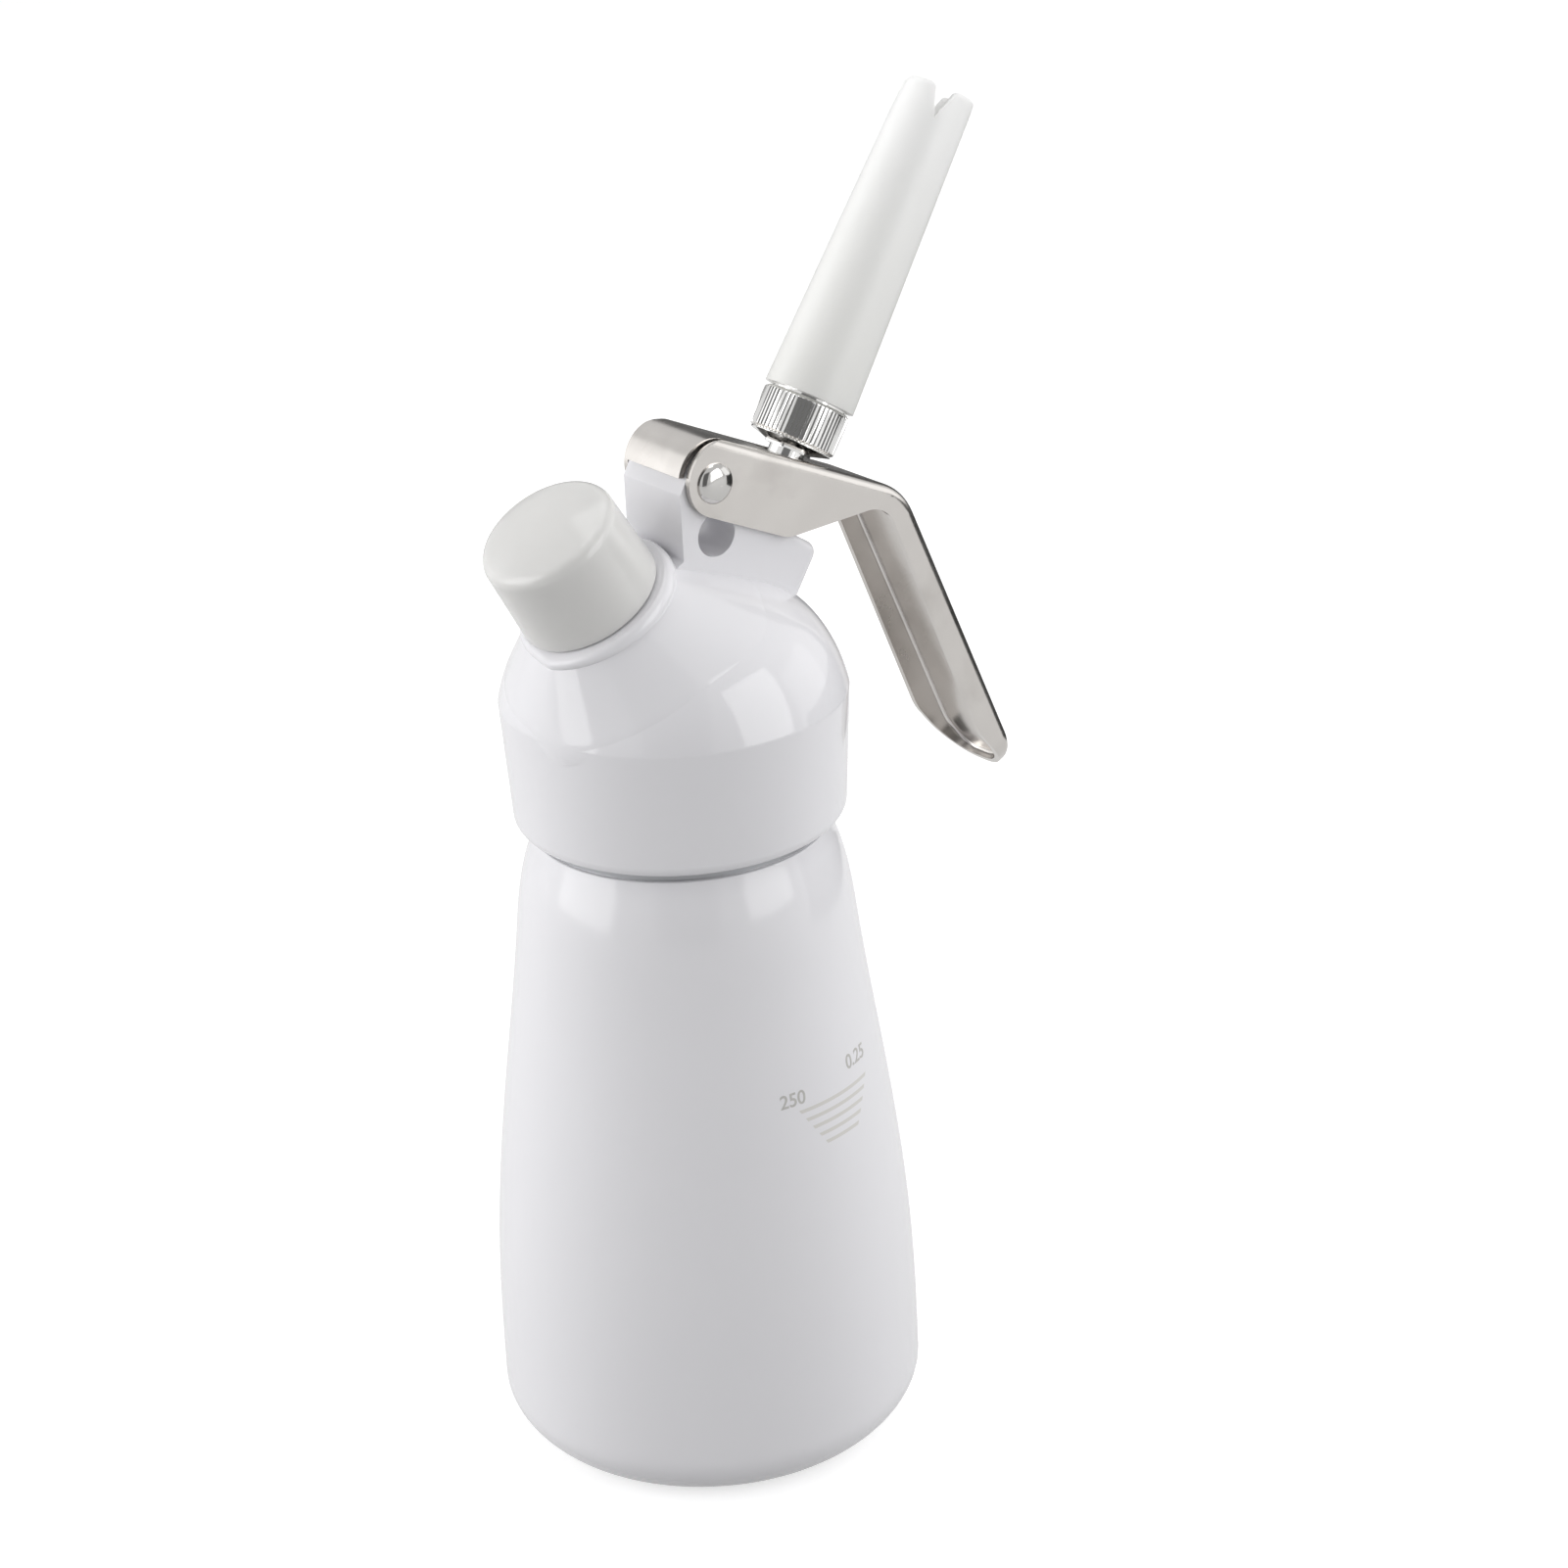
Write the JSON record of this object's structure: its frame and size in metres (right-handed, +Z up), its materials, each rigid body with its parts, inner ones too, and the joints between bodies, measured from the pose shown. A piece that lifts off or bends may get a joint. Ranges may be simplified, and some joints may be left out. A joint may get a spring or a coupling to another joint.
{
  "type": "whipped cream dispenser",
  "caption": "Small hand-held whipped cream dispenser: white bottle with screw-on head, steel press lever, tilted decorating nozzle and capped charging port",
  "frame": {"origin": "centre of the flat bottom of the bottle, on the surface it stands on", "axes": "+Z up along the bottle, +X towards the handle and the nozzle side, Y across the lever"},
  "size_m": [0.1033, 0.072, 0.2245],
  "materials": {
    "white_enamel": "gloss white stoved enamel on drawn aluminium",
    "polished_steel": "bright polished stainless steel sheet, fine grain",
    "bright_chrome": "bright chrome plate",
    "milky_plastic": "satin milky polypropylene, slightly see-through",
    "turned_steel": "turned stainless steel",
    "turned_brass": "turned brass, nickel plated",
    "silicone": "pale grey silicone",
    "black_rubber": "black nitrile rubber",
    "spring_steel": "drawn spring wire"
  },
  "bodies": {
    "bottle": {"bottle_body": "white_enamel"},
    "neck_seal": {"head_gasket": "silicone"},
    "head": {"head_shell": "white_enamel", "charging_valve_body": "turned_brass", "piercing_pin": "turned_steel", "charger_seal": "black_rubber", "check_sleeve": "black_rubber", "port_nut": "turned_brass", "valve_cage": "turned_brass", "stem_o_ring": "black_rubber", "spring_seat": "turned_steel", "valve_spring": "spring_steel"},
    "lever_arm": {"lever": "polished_steel", "hinge_pin": "bright_chrome", "hinge_pin_cap": "bright_chrome"},
    "valve": {"valve_stem": "turned_steel", "valve_seal": "black_rubber", "push_washer": "turned_steel", "stem_adapter": "bright_chrome"},
    "nozzle_seat": {"nozzle_seal": "silicone"},
    "nozzle": {"decorator_nozzle": "milky_plastic", "nozzle_ferrule": "bright_chrome"},
    "cap_seal": {"cap_liner": "silicone"},
    "cap": {"port_cap": "milky_plastic"}
  },
  "joints": [
    {"name": "head_lift", "type": "slide", "parent": "bottle", "child": "neck_seal", "axis": [0, 0, 1], "range_m": [0, 0.0241]},
    {"name": "head_turn", "type": "hinge", "parent": "neck_seal", "child": "head", "pos_m": [0, 0, 0.125], "axis": [0, 0, 1], "range_deg": [0, 2880]},
    {"name": "lever_press", "type": "hinge", "parent": "head", "child": "lever_arm", "pos_m": [0.0041, 0, 0.1703], "axis": [0, 1, 0], "range_deg": [0, 12], "stiffness_Nm_per_rad": 0.92, "springref_deg": -14.32},
    {"name": "valve_slide", "type": "slide", "parent": "head", "child": "valve", "axis": [0.5527, 0, 0.8334], "range_m": [-0.00412, 0], "deforming": ["valve_spring"]},
    {"name": "nozzle_lift", "type": "slide", "parent": "valve", "child": "nozzle_seat", "axis": [0.5527, 0, 0.8334], "range_m": [0, 0.0071]},
    {"name": "nozzle_turn", "type": "hinge", "parent": "nozzle_seat", "child": "nozzle", "pos_m": [0.01884, 0, 0.15821], "axis": [0.5527, 0, 0.8334], "range_deg": [0, 2520]},
    {"name": "cap_lift", "type": "slide", "parent": "head", "child": "cap_seal", "axis": [-0.5015, 0, 0.8652], "range_m": [0, 0.0121]},
    {"name": "cap_turn", "type": "hinge", "parent": "cap_seal", "child": "cap", "pos_m": [-0.0155, 0, 0.15433], "axis": [-0.5015, 0, 0.8652], "range_deg": [0, 2880]}
  ],
  "couplings": [
    {"joint": "head_lift", "follows": "head_turn", "m_per_rad": 0.00047746},
    {"joint": "valve_slide", "follows": "lever_press", "m_per_rad": -0.0192},
    {"joint": "nozzle_lift", "follows": "nozzle_turn", "m_per_rad": 0.00015915},
    {"joint": "cap_lift", "follows": "cap_turn", "m_per_rad": 0.00023873}
  ]
}
